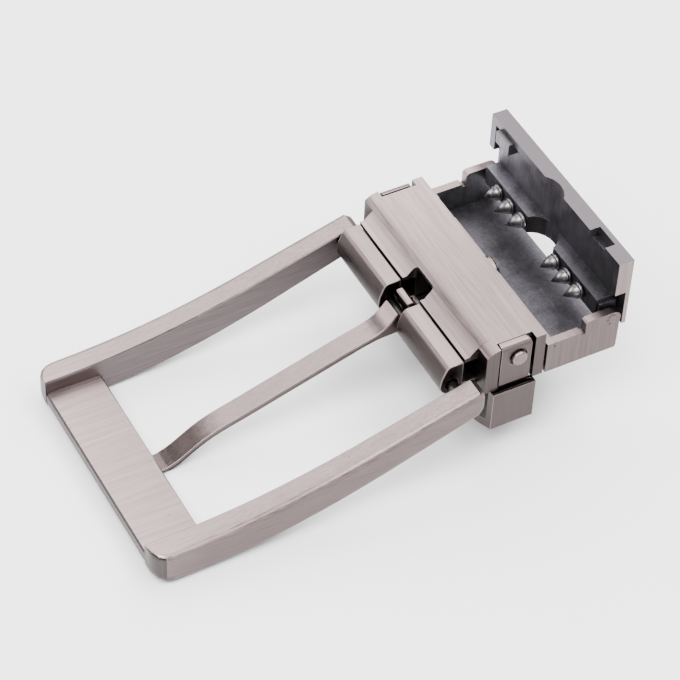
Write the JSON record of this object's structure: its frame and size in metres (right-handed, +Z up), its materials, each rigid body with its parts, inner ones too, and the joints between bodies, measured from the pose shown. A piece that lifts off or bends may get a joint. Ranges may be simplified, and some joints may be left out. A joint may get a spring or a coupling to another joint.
{
  "type": "pin buckle",
  "caption": "Brushed metal pin buckle: framed end bar with a hinged prong, strap keeper under a housing, and a swivelling toothed clamp that grips the strap's cut end.",
  "frame": {"origin": "on the surface that the buckle lies on, under the middle of its length and width", "axes": "+X from the end bar to the strap clamp, +Y across the buckle along the hinge, +Z up, from the face that shows in wear to the back"},
  "size_m": [0.0838, 0.0458, 0.0318],
  "materials": {
    "cover": "satin plating brushed across the width",
    "hinge_bracket": "satin plating",
    "hinge_pin": "drawn steel",
    "keeper": "satin plating brushed along the sides",
    "near_rivet": "satin plating, domed head",
    "far_rivet": "satin plating, domed head",
    "frame": "satin plating brushed along the arms",
    "prong": "satin plating brushed along its length",
    "spindle": "turned and peened",
    "tray": "dark plated casting, unpolished inside",
    "near_jaw_pin": "drawn steel",
    "far_jaw_pin": "drawn steel",
    "jaw": "dark plated casting, unpolished inside",
    "tooth_1": "turned",
    "tooth_2": "turned",
    "tooth_3": "turned",
    "tooth_4": "turned",
    "tooth_5": "turned",
    "tooth_6": "turned"
  },
  "bodies": {
    "housing": {"cover": "cover", "hinge_bracket": "hinge_bracket", "hinge_pin": "hinge_pin", "keeper": "keeper", "near_rivet": "near_rivet", "far_rivet": "far_rivet"},
    "frame": {"frame": "frame"},
    "prong": {"prong": "prong"},
    "spindle": {"spindle": "spindle"},
    "clamp": {"tray": "tray", "near_jaw_pin": "near_jaw_pin", "far_jaw_pin": "far_jaw_pin"},
    "jaw": {"jaw": "jaw", "tooth_1": "tooth_1", "tooth_2": "tooth_2", "tooth_3": "tooth_3", "tooth_4": "tooth_4", "tooth_5": "tooth_5", "tooth_6": "tooth_6"}
  },
  "joints": [
    {"name": "frame_pivot", "type": "hinge", "parent": "housing", "child": "frame", "pos_m": [0.01175, 0, 0.0155], "axis": [0, 1, 0], "range_deg": [-12, 50]},
    {"name": "prong_pivot", "type": "hinge", "parent": "frame", "child": "prong", "pos_m": [0.01175, 0, 0.0155], "axis": [0, 1, 0], "range_deg": [-40, 0]},
    {"name": "clamp_pull", "type": "slide", "parent": "housing", "child": "spindle", "axis": [1, 0, 0], "range_m": [0, 0.003], "stiffness_N_per_m": 2000, "springref_m": -0.002},
    {"name": "clamp_swivel", "type": "hinge", "parent": "spindle", "child": "clamp", "pos_m": [0.02675, 0, 0.0179], "axis": [1, 0, 0], "range_deg": [0, 180]},
    {"name": "jaw_pivot", "type": "hinge", "parent": "clamp", "child": "jaw", "pos_m": [0.03935, 0, 0.0198], "axis": [0, 1, 0], "range_deg": [-90, 0]}
  ]
}
